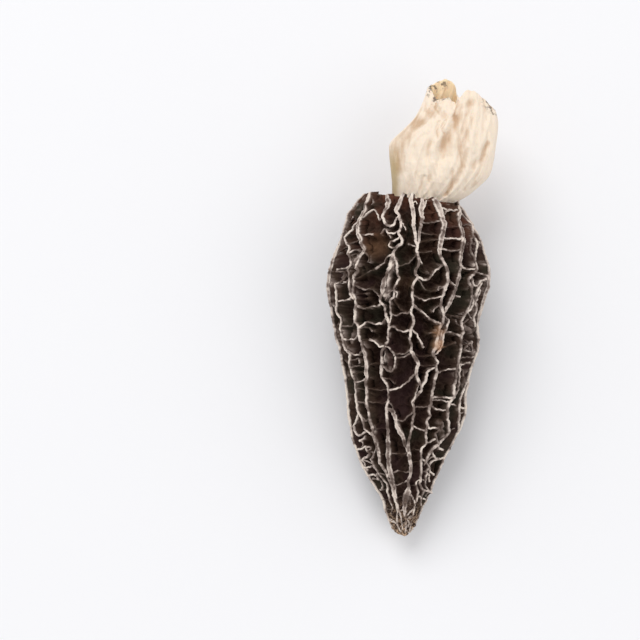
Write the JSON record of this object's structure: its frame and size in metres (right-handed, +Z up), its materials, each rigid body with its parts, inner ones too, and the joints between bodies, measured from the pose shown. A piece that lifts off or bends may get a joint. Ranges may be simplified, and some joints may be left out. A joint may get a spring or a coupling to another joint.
{
  "type": "dried black morel",
  "caption": "Dried black morel on its side: a pointed hollow cap with a raised net of long wavy ridges, and a crumpled flattened hollow stem",
  "frame": {"origin": "on the ground, under the middle of the whole morel's bounding box", "axes": "+Z up from the surface it lies on, +Y along the morel towards its stem, +X across it"},
  "size_m": [0.0252, 0.066, 0.0211],
  "materials": {
    "cap_flesh": "dry matt dark brown to black flesh, pale grey-beige along the crests of its ridges",
    "stem_flesh": "dry matt cream flesh, papery and creased, orange-tan inside"
  },
  "bodies": {
    "root": {"cap": "cap_flesh", "stem": "stem_flesh"}
  },
  "joints": []
}
